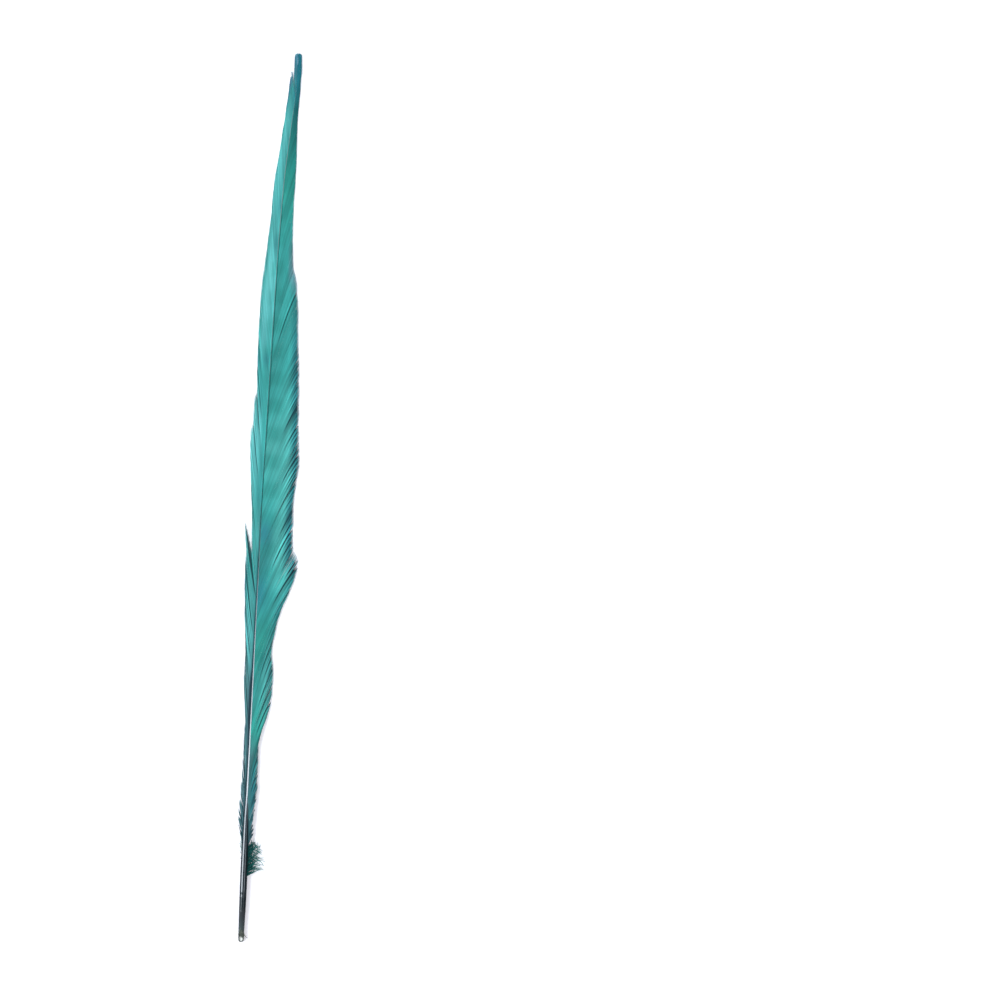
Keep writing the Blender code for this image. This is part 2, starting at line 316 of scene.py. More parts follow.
def finish_piece(piece: bpy.types.Object, slot: Slot, *finishes: bpy.types.Material) -> bpy.types.Object:
    """Dresses a piece, lets it ride on the feather's body and stand for its solid.

    Args:
        piece: The piece.
        slot: Its slot in the record; not used.
        *finishes: Its materials.

    Returns:
        The same piece.
    """
    for finish in finishes:
        piece.data.materials.append(finish)
    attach(piece, BODY)
    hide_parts(NODE)
    LOG.info("%s: %d faces", piece.name, len(piece.data.polygons))
    return piece


def linear(colour: str) -> tuple[float, float, float, float]:
    """The linear colour of an sRGB hex value such as #3FA294."""
    shares = [int(colour[n:n + 2], 16) / 255 for n in (1, 3, 5)]
    red, green, blue = (s / 12.92 if s <= 0.04045 else ((s + 0.055) / 1.055) ** 2.4 for s in shares)
    return red, green, blue, 1.0


def plug(node: bpy.types.Node, inputs: dict) -> None:
    """Links a node's inputs to the sockets that are given for them, and sets the rest to the values."""
    for key, value in inputs.items():
        if isinstance(value, Socket):
            node.id_data.links.new(value, node.inputs[key])
        else:
            node.inputs[key].default_value = value


def add_node(tree: bpy.types.NodeTree, kind: str, inputs: dict | None = None, stops: Tones = (),
             out: int | str = 0, **settings: object) -> Socket:
    """Adds a node with its settings and links.

    Args:
        tree: The material's nodes.
        kind: The node's type, without the ShaderNode before it.
        inputs: For each input, by name or number, a socket to link to it or a value to set.
        stops: For a colour ramp, its tones by their place along the feather.
        out: The output to return, by name or number.
        **settings: The node's own properties.

    Returns:
        The node's output.
    """
    node = tree.nodes.new("ShaderNode" + kind)
    for key, value in settings.items():
        setattr(node, key, value)
    for n, (place, tone) in enumerate(stops):
        elements = node.color_ramp.elements
        stop = elements[n] if n < 2 else elements.new(1.0)
        stop.position, stop.color = place / LENGTH, linear(tone)
    plug(node, inputs or {})
    return node.outputs[out]


def new_material(name: str) -> tuple[bpy.types.Material, Callable[..., Socket], bpy.types.Node]:
    """A material, the function that adds a node to it, and its Principled shader."""
    material = bpy.data.materials.new(name)
    material.use_nodes = True
    return material, partial(add_node, material.node_tree), material.node_tree.nodes["Principled BSDF"]


@dataclass(frozen=True)
class DyedBarbs:
    """Vane keratin dyed teal: flat barbs that give a low satin gloss, with the bird's own bars still showing.

    The dye took unevenly, so tones change along the vane and across it, and pooled bluer in patches. The
    natural cross bars show as darker bands. Shade is painted in where barbs have parted and beside the shaft,
    and highlights are painted on lifted edges, on the roots and in some streaks.
    """

    name: str
    near: Tones  # beside the shaft
    middle: Tones
    edge: Tones
    bar_tone: str = "#2A9085"
    pool_tone: str = "#216F80"
    near_to_middle: tuple[float, float] = (0.2, 0.6)  # the shares of a barb between which the tones change
    middle_to_edge: tuple[float, float] = (0.68, 0.92)
    barbule_pitch: float = 0.35  # real barbules are ten times as fine, too fine to show
    barbule_height: float = 0.05

    def make(self) -> bpy.types.Material:
        """The material."""
        material, add, shader = new_material(self.name)
        read = {key: add("Attribute", out="Fac", attribute_name=key)
                for key in ("station", "share", "level", "bar", "pool", "slit")}
        along = add("Math", {0: read["station"], 1: LENGTH}, operation="DIVIDE")
        near, middle, edge = (add("ValToRGB", {0: along}, tones)
                              for tones in (self.near, self.middle, self.edge))
        inner, outer = (add("MapRange", {0: read["share"], 1: start, 2: end}, interpolation_type="SMOOTHSTEP")
                        for start, end in (self.near_to_middle, self.middle_to_edge))
        blend = partial(add, "Mix", out=2, data_type="RGBA")
        colour = blend({0: outer, 6: blend({0: inner, 6: near, 7: middle}), 7: edge})
        colour = blend({0: read["bar"], 6: colour, 7: linear(self.bar_tone)})
        colour = blend({0: read["pool"], 6: colour, 7: linear(self.pool_tone)})
        # the level sets the tone's brightness: uneven dye, with painted highlights and sheen in it
        colour = add("HueSaturation", {"Value": read["level"], "Color": colour})
        # painted shade mixed in along the creases and beside the shaft
        colour = blend({0: read["slit"], 6: colour, 7: linear(Dye.PAINTED_SHADE_TONE)})
        barbules = add("TexNoise", {"Vector": add("TexCoord", out="Object"), "Detail": 2.0,
                                    "Scale": 1 / (self.barbule_pitch * MM)})
        bump = add("Bump", {"Strength": 0.3, "Distance": self.barbule_height * MM, "Height": barbules})
        plug(shader, {"Base Color": colour, "Normal": bump, "Roughness": 0.48, "IOR": 1.54,
                      "Specular IOR Level": 0.22})
        return material


@dataclass(frozen=True)
class DyedKeratin:
    """Quill keratin dyed nearly black: its hard cuticle gives crisp bright streaks, with grooves along it.

    The cuticle is polished on the two ridges on top and dull on the sides and in the groove between them.
    The gloss fades at a ragged line across the quill and ends where the last stretch before the cut end was
    dipped deeper, and the cuticle is worn off the thin upper shaft, which is left a dull dark green.
    """

    name: str = "dyed_keratin"
    tones: Tones = ((0, "#4F5348"), (8, "#414B4B"), (15, "#35383B"), (17.7, "#383A3C"), (18.5, "#141D22"),
                    (80, "#1A2A31"), (180, "#10303A"), (250, "#06403E"), (430, "#0A5652"),
                    (512.5, Dye.TIP_BLUE))
    dull_end: float = 27.3  # the middle of the ragged line at which the gloss fades
    dull_share: float = 0.28  # of the gloss, below that line
    ragged: float = 16.0  # how far the line runs to and fro
    speck: float = 1.1  # the size of its teeth
    fade: float = 0.5  # half the width of its edge
    dipped_end: tuple[float, float] = (16.8, 17.8)  # where the last of the gloss ends
    worn: tuple[float, float] = (108.0, 255.0)  # where the cuticle starts to be worn off, and is gone
    cuticle_gloss: float = 0.12  # its roughness
    cuticle_ior: float = 1.84
    groove_pitch: float = 0.5
    groove_stretch: float = 0.04  # how much the grooves change along the feather, of across it
    groove_depth: float = 0.05

    def make(self) -> bpy.types.Material:
        """The material."""
        material, add, shader = new_material(self.name)
        station, place = add("Attribute", out="Fac", attribute_name="station"), add("TexCoord", out="Object")
        specks = add("TexNoise", {"Vector": place, "Scale": 1 / (self.speck * MM), "Detail": 3.0})
        edge = add("Math", {0: specks, 1: self.ragged, 2: station}, operation="MULTIPLY_ADD")
        level = self.dull_end + self.ragged / 2
        whole = add("MapRange", {0: edge, 1: level - self.fade, 2: level + self.fade, 3: self.dull_share})
        clear = add("MapRange", {0: station, 1: self.dipped_end[0], 2: self.dipped_end[1]})
        kept = add("MapRange", {0: station, 1: self.worn[0], 2: self.worn[1], 3: 1.0, 4: 0.0})
        polish = add("Attribute", out="Fac", attribute_name="polish")
        times = partial(add, "Math", operation="MULTIPLY")
        cuticle = times({0: kept, 1: times({0: clear, 1: polish})})
        along = add("Math", {0: station, 1: LENGTH}, operation="DIVIDE")
        squeezed = add("Mapping", {"Vector": place, "Scale": (1.0, self.groove_stretch, 1.0)})
        grooves = add("TexNoise", {"Vector": squeezed, "Scale": 1 / (self.groove_pitch * MM), "Detail": 3.0})
        bump = add("Bump", {"Strength": 0.15, "Distance": self.groove_depth * MM, "Height": grooves})
        plug(shader, {"Base Color": add("ValToRGB", {0: along}, self.tones), "Normal": bump, "IOR": 1.54,
                      "Roughness": 0.5, "Specular IOR Level": 0.07, "Coat IOR": self.cuticle_ior,
                      "Coat Weight": times({0: whole, 1: cuticle}), "Coat Roughness": self.cuticle_gloss})
        return material


@dataclass(frozen=True)
class PalePith:
    """The quill's inside and torn fibres, which the dye hardly reached: chalky, dry and ivory to olive."""

    name: str = "pale_pith"
    light: str = "#FBFBF6"
    dark: str = "#D6D8CC"
    grain: float = 0.7

    def make(self) -> bpy.types.Material:
        """The material."""
        material, add, shader = new_material(self.name)
        grain = add("TexNoise", {"Vector": add("TexCoord", out="Object"), "Scale": 1 / (self.grain * MM)})
        tone = add("Mix", {0: grain, 6: linear(self.dark), 7: linear(self.light)}, out=2, data_type="RGBA")
        bump = add("Bump", {"Strength": 0.5, "Distance": 0.1 * MM, "Height": grain})
        plug(shader, {"Base Color": tone, "Normal": bump, "Roughness": 0.85, "Specular IOR Level": 0.2})
        return material


@dataclass(frozen=True)
class DyedDown:
    """Down dyed deep teal: soft curled threads that hold much dye and give hardly any gloss."""

    name: str = "dyed_down"
    dark: str = "#0B4D49"
    light: str = "#3A978C"

    def make(self) -> bpy.types.Material:
        """The material."""
        material, add, shader = new_material(self.name)
        level = add("Attribute", out="Fac", attribute_name="level")
        tone = add("Mix", {0: level, 6: linear(self.dark), 7: linear(self.light)}, out=2, data_type="RGBA")
        plug(shader, {"Base Color": tone, "Roughness": 0.7, "Specular IOR Level": 0.2})
        return material


@dataclass(frozen=True)
class Parting:
    """How barbs part into cells: a crease starts, then a gap, and the cell draws in to a tip.

    The curves go by the place along the feather at which the barbs end.
    """

    width: Curve  # of a cell, along the shaft
    crease: Curve  # the share of the barbs at which the creases between cells start
    hold: Curve  # the share at which the creases become gaps
    draw: Curve  # how far the sides of a cell draw in at its tip, as a share of its half width
    dark: Curve  # how dark the painted shade in the creases is
    reach: float  # how far from a crease its painted shade reaches, along the shaft
    crown: float  # how far the middle of a cell stands above its sides
    spread: float = 0.45  # how unevenly the cells are sized
    uneven: float = 0.09  # how unevenly deep they part, as a share of the barbs
    gap_spread: tuple[float, float] = (0.6, 1.3)
    dark_spread: tuple[float, float] = (0.45, 1.15)
    crease_fade: float = 0.22  # the share of a barb over which a crease gets its full painted shade
    relief_fade: float = 0.4  # and a cell its full height
    dark_middle: float = -0.3  # where a crease's painted shade and the painted highlight beside it lie, of its reach
    gleam_middle: float = 1.9


@dataclass(frozen=True)
class DeepSplit:
    """A split that parts a vane well inside its edge."""

    root: float  # where the barbs beside it leave the shaft
    crease: float
    hold: float
    gap: float  # half its width at the edge, along the shaft
    # how dark the painted shade in its crease is
    dark: float = 1.0


@dataclass(frozen=True)
class Mark:
    """A soft-edged streak along some barbs, or a patch over them."""

    place: float  # where its barbs leave the shaft, or where it lies along the feather
    length: float
    share: float  # of the barbs, at its middle
    breadth: float
    strength: float

    def over(self, places: Array, shares: Array) -> Array:
        """How strong the mark is at some places and shares."""
        return self.strength * np.exp(-((places - self.place) / self.length) ** 2
                                      - ((shares - self.share) / self.breadth) ** 2)


@dataclass(frozen=True)
class Parted:
    """What parting does to the barbs of a vane, at every ring."""

    shift: Array  # along the shaft
    slit: Array  # how dark the painted shade of the creases beside it makes it
    painted_highlight: Array  # a painted highlight where its lifted edge would catch the light
    relief: Array  # how far its cell stands out
    place: Array  # its place in the cell, from -1 to 1


@dataclass(frozen=True)
class Vane:
    """One vane: every barb from the foot to the tip, drawn together in wisps and locks."""

    plan: FeatherPlan
    hand: Hand
    reach: Curve  # how far from the axis a barb ends, by where it leaves the shaft
    advance: Curve  # how far towards the tip it runs before it ends
    edge: Curve  # how high the edge is
    root_height: Curve  # where the barbs leave the shaft: 0 at its axis, 1 at its top
    root_across: float  # how far from the axis the barbs begin, inside the shaft, of its width
    wisps: Parting
    locks: Parting
    splits: tuple[DeepSplit, ...]
    loose: Curve  # how far the ends of the barbs stray, by where they leave the shaft
    root_painted_shade: Curve  # painted shade: how dark the vane is right beside the shaft
    root_painted_highlight: Curve  # painted highlight: how much lighter the barbs' bent roots are, right beside the shaft
    bars: Curve  # how strong the bird's bars are
    bar_shares: tuple[float, float]  # where the bars start to fade and where they end
    # lighter and darker streaks along the barbs: uneven dye, with a painted sheen in some lighter ones
    streaks: tuple[Mark, ...]
    pools: tuple[Mark, ...]
    streak_size: float  # of the broadest streaks, along the shaft
    finish: DyedBarbs
    seed: int
    first_root: float = 50.0
    last_root: float = 511.0
    pitch: float = 0.5
    root_jitter: float = 0.2  # of the pitch
    rings: int = 21
    most_hidden: float = 0.35  # the share of a barb that may lie inside the shaft
    flare: float = 0.34  # how much a barb turns outwards on its way
    first_fall: float = 0.35  # the share of its fall that is even, where the rest grows towards the edge
    edge_clear: float = 0.25  # how far its end lies above the edge's curve
    barb_rise: float = 0.07
    tip_taper: tuple[float, float] = (0.08, 0.25)  # the share of it that tapers, and how thin that ends
    overlap: float = 1.6  # of a barb's width over the space that it has
    narrowest: float = 0.13
    widest: float = 0.45
    shingle: float = 0.15  # how far each barb leans on the next, as a slope
    least_up: float = 0.5  # of the way that the vane faces
    wisp_round: float = 0.012  # how far the barbs at a wisp's sides end short, as a share
    lock_round: float = 0.012
    ragged: float = 0.006  # how far single barbs end short
    cell_lean: float = 0.6  # how much higher a cell stands on one side, of its crown
    sway: float = 0.2  # how far groups of barbs bend aside at the edge
    stray_cells: tuple[float, float] = (2.0, 0.3)  # the size of the groups that stray, sway and lift
    sway_cells: tuple[float, float] = (9.0, 0.5)
    lift_cells: tuple[float, float] = (1.5, 0.4)
    # The strength, size and length of each kind of streak, with the finest last:
    streak_kinds: Triples = ((0.09, 1.0, 0.9), (0.12, 0.3, 0.6), (0.18, 0.12, 0.8))
    comb_band: tuple[float, float] = (0.5, 0.75)  # the shares between which the comb's streaks set in
    comb_contrast: float = 1.3  # how much stronger the finest streaks are in the comb
    strand_spread: float = 0.14  # how much single barbs differ in tone
    bar_pitch: float = 15.9  # from one light band to the next
    bar_phase: float = 363.3  # a light band's place
    bar_sway: float = 2.2  # how far the bars run to and fro
    bar_band: tuple[float, float] = (0.55, -0.45)  # the cosines between which a bar sets in
    shade_band: tuple[float, float] = (0.8, 1.25)  # where the painted shade by the shaft fades, of its reach
    shade_reach: Curve = Curve(((58, 1.2), (100, 1.35), (120, 1.4), (130, 1.8), (145, 1.8), (158, 1.2),
                                (230, 1.0)))  # from the shaft's axis
    gleam_band: tuple[float, float] = (0.7, 1.3)  # how far from the axis the painted highlight on the roots fades
    painted_highlight: float = 0.3  # how much lighter the painted highlight makes the lifted edge of a cell
    pool_spread: float = 0.5  # how uneven the pools are
    most_pool: float = 0.85
    # the most that the painted shade is mixed in
    darkest: float = 0.97

    def end_of(self, roots: Array) -> Array:
        """Where along the feather the barbs with these roots end."""
        return np.minimum(roots + self.advance.at(roots), LENGTH)

    def cells(self, rng: np.random.Generator, parting: Parting, splits: Sequence[DeepSplit]) -> Array:
        """The cell borders along the shaft.

        Args:
            rng: Where the uneven sizes come from.
            parting: How the barbs part.
            splits: Splits on which a border has to lie.

        Returns:
            The borders, from the first root to the last.
        """
        borders = [self.first_root]
        while borders[-1] < self.last_root:
            width = float(parting.width.at(borders[-1]))
            borders.append(borders[-1] + width * rng.uniform(1 - parting.spread, 1 + parting.spread))
        borders = np.array(borders[:-1] + [self.last_root])
        for split in splits:
            borders[1 + np.argmin(np.abs(borders[1:-1] - split.root))] = split.root
        return np.sort(borders)

    def part(self, rng: np.random.Generator, parting: Parting, roots: Array, shares: Array,
             splits: Sequence[DeepSplit] = ()) -> Parted:
        """Draws the barbs of each cell together.

        Args:
            rng: Where the uneven splits come from.
            parting: How the barbs part.
            roots: Where each barb leaves the shaft.
            shares: The shares along each barb at which it is worked out.
            splits: Splits with a root, depth and gap of their own.

        Returns:
            What that does to the barbs.
        """
        borders = self.cells(rng, parting, splits)
        ends = self.end_of(borders)
        uneven = rng.uniform(-parting.uneven, parting.uneven, len(borders))
        crease = np.clip(parting.crease.at(ends) + uneven, 0.05, 0.95)
        hold = np.clip(parting.hold.at(ends) + uneven, 0.1, 0.98)
        half_cell = np.gradient(borders) / 2
        gap = parting.draw.at(ends) * half_cell * rng.uniform(*parting.gap_spread, len(borders))
        dark = parting.dark.at(ends) * rng.uniform(*parting.dark_spread, len(borders))
        for split in splits:
            n = np.argmin(np.abs(borders - split.root))
            crease[n], hold[n], gap[n], dark[n] = split.crease, split.hold, split.gap, split.dark
        cell = np.clip(np.searchsorted(borders, roots, side="right") - 1, 0, len(borders) - 2)
        across = (roots - borders[cell]) / (borders[cell + 1] - borders[cell])
        shift, slit, painted_highlight, relief = (np.zeros_like(shares) for _ in range(4))
        for border, weight, side in ((cell, 1 - across, 1), (cell + 1, across, -1)):
            open_from, crease_from = hold[border][:, None], crease[border][:, None]
            opening = np.clip((shares - open_from) / (1 - open_from), 0, 1)
            shift += side * (gap[border] * weight)[:, None] * opening
            offset = ((roots - borders[border]) / parting.reach)[:, None]
            past = shares - crease_from
            seen = smooth_step(0, parting.crease_fade, past) * dark[border][:, None]
            # painted shade along each crease, and a painted highlight on its lifted side
            slit = np.maximum(slit, seen * np.exp(-(offset - parting.dark_middle) ** 4))
            painted_highlight = np.maximum(painted_highlight, seen * np.exp(-(offset - parting.gleam_middle) ** 2))
            relief = np.maximum(relief, smooth_step(0, parting.relief_fade, past))
        return Parted(shift, slit, painted_highlight, relief, (2 * across - 1)[:, None])

    def point(self, roots: Array, shares: Array) -> tuple[Array, Array, Array]:
        """Places along barbs.

        Args:
            roots: Where the barbs leave the shaft.
            shares: How far along the barbs the places are.

        Returns:
            The places across, along and up.
        """
        ends = self.end_of(roots)
        along = roots + (ends - roots) * ((1 + self.flare) * shares - self.flare * shares ** 2)
        fall = self.first_fall * shares + (1 - self.first_fall) * shares ** 2
        root = self.plan.axis(along) + self.root_height.at(along) * self.plan.depth(along) / 2
        up = root * (1 - fall) + (self.edge.at(along) + self.edge_clear) * fall
        return self.plan.bow.at(along) + self.hand.value * self.reach.at(roots) * shares, along, up

    def sheet_up(self, path: Array) -> Array:
        """The way that the vane's upper side faces at every ring, smoothed over a few barbs."""
        beside = 3
        padded = np.pad(path, ((beside, beside), (0, 0), (0, 0)), mode="edge")
        smoothed = sum(padded[n:n + len(path)] for n in range(2 * beside + 1)) / (2 * beside + 1)
        normal = self.hand.value * np.cross(np.gradient(smoothed, axis=1), np.gradient(smoothed, axis=0))
        normal = unit(normal)
        normal[..., 2] = np.maximum(normal[..., 2], self.least_up)
        return normal + np.array([0, self.shingle, 0])

    def widths(self, path: Array) -> Array:
        """The width that each barb needs to lap over the next."""
        way = unit(np.gradient(path[..., :2], axis=1))
        step = path[1:, :, :2] - path[:-1, :, :2]
        space = np.abs(step[..., 0] * way[:-1, :, 1] - step[..., 1] * way[:-1, :, 0])
        space = np.concatenate([space, space[-1:]])
        beside = np.concatenate([space[:1], space[:-1]])
        return np.clip(self.overlap * np.minimum(space, beside), self.narrowest, self.widest)

    def tints(self, rng: np.random.Generator, roots: Array, shares: Array, along: Array,
              partings: tuple[Parted, Parted]) -> dict[str, Array]:
        """What the finish reads at every ring.

        Args:
            rng: Where the uneven dye comes from.
            roots: Where each barb leaves the shaft.
            shares: How far along its barb each ring is.
            along: Where along the feather each ring is.
            partings: How the wisps and the locks part.

        Returns:
            The values by their names.
        """
        comb = self.wisps.dark.at(self.end_of(roots))[:, None] * smooth_step(*self.comb_band, shares)
        *broader, (weight, size, span) = self.streak_kinds
        kinds = (*broader, (weight * (1 + self.comb_contrast * comb), size, span))
        streak = sum(weight * drift(rng, roots, shares, (size * self.streak_size, span))
                     for weight, size, span in kinds)
        # marked streaks: uneven dye, partly painted sheen
        streak = streak + sum(mark.over(roots[:, None], shares) for mark in self.streaks)
        strand = rng.uniform(-self.strand_spread, self.strand_spread, len(roots))[:, None]
        painted_highlight = np.maximum(partings[0].painted_highlight, partings[1].painted_highlight)
        wave = along + self.bar_sway * drift(rng, roots, shares, (2 * self.streak_size, 0.4)) - self.bar_phase
        bar = smooth_step(*self.bar_band, np.cos(2 * np.pi * wave / self.bar_pitch)) * self.bars.at(along)
        distance = shares * self.reach.at(roots)[:, None]
        # painted shade in the crease right beside the shaft
        beside = self.root_painted_shade.at(along) * smooth_step(self.shade_band[1], self.shade_band[0],
                                                         distance / self.shade_reach.at(along))
        # painted highlight on the barbs' roots beside the shaft
        bright = self.root_painted_highlight.at(along) * smooth_step(self.gleam_band[1], self.gleam_band[0], distance)
        pool = sum(mark.over(along, shares) for mark in self.pools)
        pool = pool * (1 + self.pool_spread * drift(rng, roots, shares, (self.streak_size, 0.3)))
        # painted highlights on the lifted edges of cells and on the roots
        light = (1 + self.painted_highlight * painted_highlight) * (1 + bright)
        slit = np.maximum.reduce([partings[0].slit, partings[1].slit, beside])
        # the level carries uneven dye with the painted highlights and sheen; the last value carries the painted
        # shade
        return {"station": along, "share": shares, "level": (1 + streak) * (1 + strand) * light,
                "bar": bar * smooth_step(self.bar_shares[1], self.bar_shares[0], shares),
                "pool": np.clip(pool, 0, self.most_pool), "slit": np.clip(slit, 0, self.darkest)}

    def barbs(self) -> Threads:
        """Lays out every barb."""
        rng = np.random.default_rng(self.seed)
        roots = np.arange(self.first_root, self.last_root, self.pitch)
        roots = roots + rng.uniform(-self.root_jitter, self.root_jitter, len(roots)) * self.pitch
        hidden = self.root_across * self.plan.shaft_width.at(roots) / np.maximum(self.reach.at(roots), 1.0)
        steps = np.linspace(0, 1, self.rings)[None, :]
        start = np.minimum(hidden, self.most_hidden)[:, None]
        shares = start + (1 - start) * steps
        wisp = self.part(rng, self.wisps, roots, shares)
        lock = self.part(rng, self.locks, roots, shares, self.splits)
        short = self.wisp_round * wisp.place ** 2 + self.ragged * np.abs(rng.normal(size=(len(roots), 1)))
        back = short * wisp.relief[:, -1:] + self.lock_round * np.abs(lock.place) ** 3 * lock.relief[:, -1:]
        stray = self.loose.at(roots)[:, None] * shares ** 2
        sway = (stray * drift(rng, roots, shares, self.stray_cells)
                + self.sway * shares * drift(rng, roots, shares, self.sway_cells))
        across, along, up = self.point(roots[:, None] + wisp.shift + lock.shift, shares * (1 - back))
        for cell, parting in ((wisp, self.wisps), (lock, self.locks)):
            lean = self.hand.value * self.cell_lean * cell.place
            up = up + parting.crown * cell.relief * (1 - cell.place ** 2 - lean)
        up = up + stray * (0.5 + 0.5 * drift(rng, roots, shares, self.lift_cells))
        across = across + self.hand.value * sway
        path = np.stack([across, np.minimum(along, LENGTH), np.maximum(up, 2 * self.barb_rise)], axis=-1)
        taper = np.clip((1 - steps) / self.tip_taper[0], self.tip_taper[1], 1)
        return Threads(path, self.widths(path) * taper, self.barb_rise * taper * np.ones_like(shares),
                       self.sheet_up(path), self.tints(rng, roots, shares, along, (wisp, lock)))

    def build(self) -> bpy.types.Object:
        """Makes the vane and dresses it."""
        piece = thread_piece(self.plan, f"{self.hand.name.lower()}_vane", [self.barbs()])
        return finish_piece(piece, Slot.VANE, self.finish.make())


@dataclass(frozen=True)
class Shaft:
    """The quill and shaft in one: a tapered tube with a hollow cut end that is broken open on top."""

    plan: FeatherPlan
    skin: DyedKeratin
    pith: PalePith
    torn: PalePith
    sides: int = 48
    ring_pitch: float = 1.6
    tip_gap: float = 7.0
    square: tuple[float, float] = (2.25, 2.9)  # the section's exponent on the quill and between the vanes
    facet_lean: float = 14.0  # degrees that the section's flattest side leans to the left
    tip_cap: tuple[float, float] = (0.5, 0.2)  # how far past its last ring the shaft ends, and how wide
    under_groove: float = 0.22  # of the depth, between the vanes
    groove_half: float = 0.35  # of half the width
    ridges: Points = ((-0.34, 0.22), (0.27, 0.17))  # place and half width on top, of half the shaft's width
    ridge_spread: float = 0.55  # how much wider the ridges are between the vanes
    quill_polish: float = 0.78  # of the polish between the vanes
    polish_run: float = 20.0  # past the foot of the vanes, where the full polish sets in
    bore: float = 1.6
    bore_taper: tuple[float, float] = (0.6, 1.1)  # its inner end and its mouth, of its width
    bore_depth: float = 11.0
    bore_start: float = 5.8  # where the bore is round again behind the broken mouth
    rim_bevel: float = 0.7  # how far the wall's cut face slopes in to the bore
    cut_slant: float = 0.5
    break_back: float = 3.7  # how far the upper side of the cut end is broken away
    break_side: float = 112.0  # degrees round the section where that break is deepest
    teeth: Triples = ((0.2, 5, 0.0), (0.15, 11, 1.0))  # depth, number and phase of its teeth
    frays: int = 20
    fray_sides: tuple[float, float] = (-25.0, 205.0)  # degrees round the section
    fray_length: tuple[float, float] = (1.5, 4.0)
    fray_width: float = 0.3
    hook_side: float = 12.0  # degrees round the section where one fibre hooks out to the right
    seed: int = 3

    def broken(self, angle: Array) -> Array:
        """How far the cut end is broken away at these angles round the section, from 0 to 1."""
        return (0.5 + 0.5 * np.cos(angle - math.radians(self.break_side))) ** 1.5

    def ring(self, along: float, width: float, depth: float, cut: bool = False) -> Array:
        """The vertices round the shaft's axis.

        Args:
            along: The ring's place.
            width: Its width.
            depth: Its depth.
            cut: Whether the ring follows the slant and the break of the cut end.

        Returns:
            The vertices, counter-clockwise as seen from the tip.
        """
        turn = 2 * np.pi * (np.arange(self.sides) + 0.5) / self.sides
        square = np.interp(along, (self.plan.quill_end, self.plan.vane_foot), self.square)
        x, z = np.cos(turn), np.sin(turn)
        radius = (np.abs(x) ** square + np.abs(z) ** square) ** (-1 / square)
        lean = math.radians(self.facet_lean)
        x, z = (radius * (x * math.cos(lean) - z * math.sin(lean)),
                radius * (x * math.sin(lean) + z * math.cos(lean)))
        vaned = smooth_step(self.plan.quill_end, self.plan.vane_foot, np.array(along))
        z = z + np.exp(-(x / self.groove_half) ** 2) * (z < 0) * self.under_groove * 2 * vaned
        ragged = sum(deep * np.sin(number * turn + phase) for deep, number, phase in self.teeth)
        gone = (self.break_back + ragged) * self.broken(np.arctan2(z, x))
        end = self.cut_slant * (np.cos(turn) - 1) + gone if cut else 0.0
        return np.stack([self.plan.middle(along) + x * width / 2, along + end * np.ones_like(x),
                         self.plan.axis(along) + z * depth / 2], axis=1)

    def fibres(self) -> Threads:
        """Torn fibres round the cut end, which lie along the quill and splay a little."""
        rng = np.random.default_rng(self.seed)
        each, steps = column(rng, self.frays), np.linspace(0, 1, 7)[None, :]
        degrees = each(*self.fray_sides)
        degrees[0] = self.hook_side
        turn = np.radians(degrees)
        length = each(*self.fray_length)
        splay = 1.02 + 0.3 * steps ** 2 * each(0, 1)
        along = self.break_back * self.broken(turn) + each(0, 0.8) + length * (1 - steps)
        radius = self.plan.shaft_width.at(along) / 2 * splay
        bend = 0.4 * each(-1, 1) * steps ** 2
        width = self.fray_width * (1 - 0.6 * steps) * np.ones_like(bend)
        along[0], bend[0], width[0] = 5.0 - 2.8 * steps, 2.0 * steps ** 2, 0.75 - 0.3 * steps  # the hook
        path = np.stack([radius * np.cos(turn) + bend, along,
                         np.maximum(self.plan.axis(along) + radius * np.sin(turn), 0.2)], axis=-1)
        outwards = np.stack(np.broadcast_arrays(np.cos(turn), 0 * steps, np.sin(turn)), axis=-1)
        return Threads(path, width, width / 3, outwards)

    def build(self) -> None:
        """Makes the shaft and the torn fibres and dresses them."""
        plan, end, bore = self.plan, LENGTH - self.tip_gap, self.bore
        inner, mouth = (bore * share for share in self.bore_taper)
        rings = [self.ring(self.bore_depth, inner, inner), self.ring(self.bore_start, bore, bore),
                 self.ring(self.rim_bevel, mouth, mouth, True)]
        inside = self.sides * (len(rings) - 1)
        for along in np.concatenate([[0.0], np.linspace(self.bore_start, end, int(end / self.ring_pitch))]):
            rings.append(self.ring(along, plan.shaft_width.at(along), plan.depth(along), along == 0))
        rings.append(self.ring(end + self.tip_cap[0], self.tip_cap[1], self.tip_cap[1]))
        places = np.concatenate(rings)
        station = places[:, 1]
        aside = (places[:, 0] - plan.middle(station)) / (plan.shaft_width.at(station) / 2)
        vaned = smooth_step(plan.vane_foot, plan.vane_foot + self.polish_run, station)
        wider = 1 + self.ridge_spread * vaned
        polish = sum(np.exp(-((aside - place) / (half * wider)) ** 4) for place, half in self.ridges)
        polish = polish * (self.quill_polish + (1 - self.quill_polish) * vaned)
        polish = polish * (places[:, 2] > plan.axis(station))
        index = np.arange(len(places)).reshape(len(rings), self.sides)
        near, far = index[:-1], index[1:]
        walls = np.stack([near, np.roll(near, -1, 1), np.roll(far, -1, 1), far], axis=-1).reshape(-1, 4)
        faces = list(walls) + [index[0][::-1], index[-1]]
        piece = make_piece(plan, "quill_and_shaft", places, faces, {"station": station, "polish": polish})
        for n in [*range(inside), len(walls)]:
            piece.data.polygons[n].material_index = 1
        finish_piece(piece, Slot.QUILL, self.skin.make(), self.pith.make())
        finish_piece(thread_piece(plan, "cut_end_fibres", [self.fibres()]), Slot.QUILL, self.torn.make())


